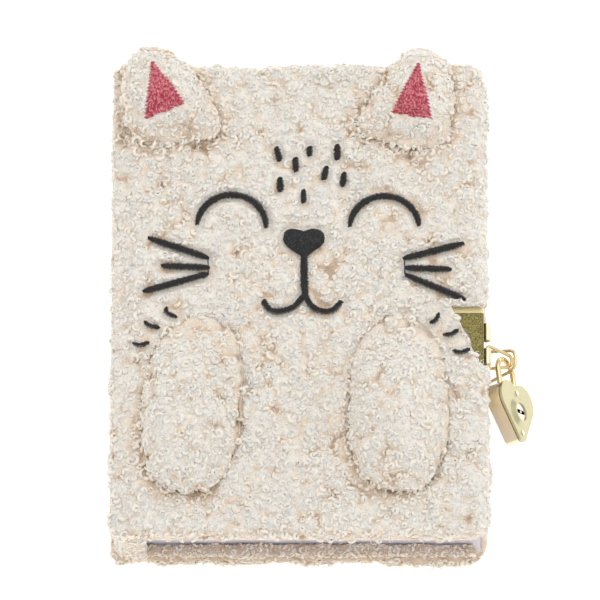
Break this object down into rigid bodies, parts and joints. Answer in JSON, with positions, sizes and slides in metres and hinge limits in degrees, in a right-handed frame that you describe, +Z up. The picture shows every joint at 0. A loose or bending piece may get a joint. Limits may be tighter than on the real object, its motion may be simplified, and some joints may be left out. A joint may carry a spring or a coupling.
{
  "type": "lockable diary",
  "caption": "Small plush-covered diary with stuffed ears and paws, a stitched sleeping animal face, hinged covers and leaves, and a heart padlock through two wire loops on the fore edge.",
  "frame": {"origin": "middle of the back cover's outer face, on the table", "axes": "+X from the spine to the fore edge, +Y towards the head of the book, +Z up out of the front cover"},
  "size_m": [0.1334, 0.1636, 0.0433],
  "materials": {
    "plush": "curly pile",
    "wadding": "matte",
    "card": "matte",
    "paper": "matte",
    "cloth_lining": "matte",
    "band_cloth": "matte",
    "pink_satin": "satin",
    "black_thread": "satin",
    "pale_gold": "satin plated",
    "lock_inside": "cast",
    "nickel": "polished"
  },
  "bodies": {
    "back_cover": {"back_board": "card", "back_padding": "wadding", "back_plush": "plush", "back_pastedown": "paper", "back_clip": "pale_gold"},
    "book_block": {"spine_plush": "plush", "spine_board": "card", "spine_lining": "cloth_lining", "front_joint_strip": "cloth_lining", "back_joint_strip": "cloth_lining", "section_1": "paper", "section_2": "paper", "section_3": "paper", "section_4": "paper", "section_5": "paper", "section_6": "paper", "section_7": "paper", "section_8": "paper", "head_band": "band_cloth", "tail_band": "band_cloth", "back_flyleaf": "paper"},
    "front_cover": {"front_board": "card", "front_padding": "wadding", "front_plush": "plush", "front_pastedown": "paper", "ear_left": "plush", "ear_right": "plush", "ear_patch_left": "pink_satin", "ear_patch_right": "pink_satin", "paw_left": "plush", "paw_right": "plush", "eye_left": "black_thread", "eye_right": "black_thread", "nose": "black_thread", "mouth": "black_thread", "whiskers_left": "black_thread", "whiskers_right": "black_thread", "claws_left": "black_thread", "claws_right": "black_thread", "forehead_spots": "black_thread", "front_clip": "pale_gold"},
    "flyleaf": {"front_flyleaf": "paper"},
    "first_leaf": {"leaf_1": "paper"},
    "second_leaf": {"leaf_2": "paper"},
    "third_leaf": {"leaf_3": "paper"},
    "upper_loop": {"front_loop": "pale_gold"},
    "lower_loop": {"back_loop": "pale_gold"},
    "shackle": {"padlock_shackle": "pale_gold"},
    "padlock_body": {"padlock_case": "pale_gold", "padlock_core": "lock_inside", "padlock_face": "pale_gold", "padlock_rivets": "nickel"},
    "key_plug": {"padlock_plug": "nickel"}
  },
  "joints": [
    {"name": "back_hinge", "type": "hinge", "parent": "back_cover", "child": "book_block", "pos_m": [-0.05975, 0, 0.00725], "axis": [0, -1, 0], "range_deg": [0, 90]},
    {"name": "front_hinge", "type": "hinge", "parent": "book_block", "child": "front_cover", "pos_m": [-0.05975, 0, 0.02415], "axis": [0, -1, 0], "range_deg": [0, 180]},
    {"name": "flyleaf_turn", "type": "hinge", "parent": "book_block", "child": "flyleaf", "pos_m": [-0.05075, 0, 0.02385], "axis": [0, -1, 0], "range_deg": [0, 165.6]},
    {"name": "first_leaf_turn", "type": "hinge", "parent": "book_block", "child": "first_leaf", "pos_m": [-0.05075, 0, 0.02385], "axis": [0, -1, 0], "range_deg": [0, 126]},
    {"name": "second_leaf_turn", "type": "hinge", "parent": "book_block", "child": "second_leaf", "pos_m": [-0.05075, 0, 0.02385], "axis": [0, -1, 0], "range_deg": [0, 81]},
    {"name": "third_leaf_turn", "type": "hinge", "parent": "book_block", "child": "third_leaf", "pos_m": [-0.05075, 0, 0.02385], "axis": [0, -1, 0], "range_deg": [0, 36]},
    {"name": "upper_loop_swing", "type": "hinge", "parent": "front_cover", "child": "upper_loop", "pos_m": [0.05895, -0.0161, 0.0206], "axis": [0, -1, 0], "range_deg": [0, 108]},
    {"name": "lower_loop_swing", "type": "hinge", "parent": "back_cover", "child": "lower_loop", "pos_m": [0.05895, -0.0161, 0.0108], "axis": [0, -1, 0], "range_deg": [-27, 0]},
    {"name": "padlock_swing", "type": "hinge", "parent": "lower_loop", "child": "shackle", "pos_m": [0.06378, -0.01639, 0.0168], "axis": [-0.5211, -0.0815, 0.8496], "range_deg": [-2, 60]},
    {"name": "padlock_pull", "type": "slide", "parent": "shackle", "child": "padlock_body", "axis": [0.1288, -0.9915, -0.0161], "range_m": [0, 0.00636]},
    {"name": "key_turn", "type": "hinge", "parent": "padlock_body", "child": "key_plug", "pos_m": [0.0666, -0.03418, 0.01682], "axis": [-0.8437, -0.1011, -0.5272], "range_deg": [0, 90]}
  ],
  "couplings": [
    {"joint": "flyleaf_turn", "follows": "front_hinge", "ratio": 0.92},
    {"joint": "first_leaf_turn", "follows": "front_hinge", "ratio": 0.7},
    {"joint": "second_leaf_turn", "follows": "front_hinge", "ratio": 0.45},
    {"joint": "third_leaf_turn", "follows": "front_hinge", "ratio": 0.2},
    {"joint": "upper_loop_swing", "follows": "front_hinge", "ratio": 0.6},
    {"joint": "lower_loop_swing", "follows": "front_hinge", "ratio": -0.15}
  ]
}
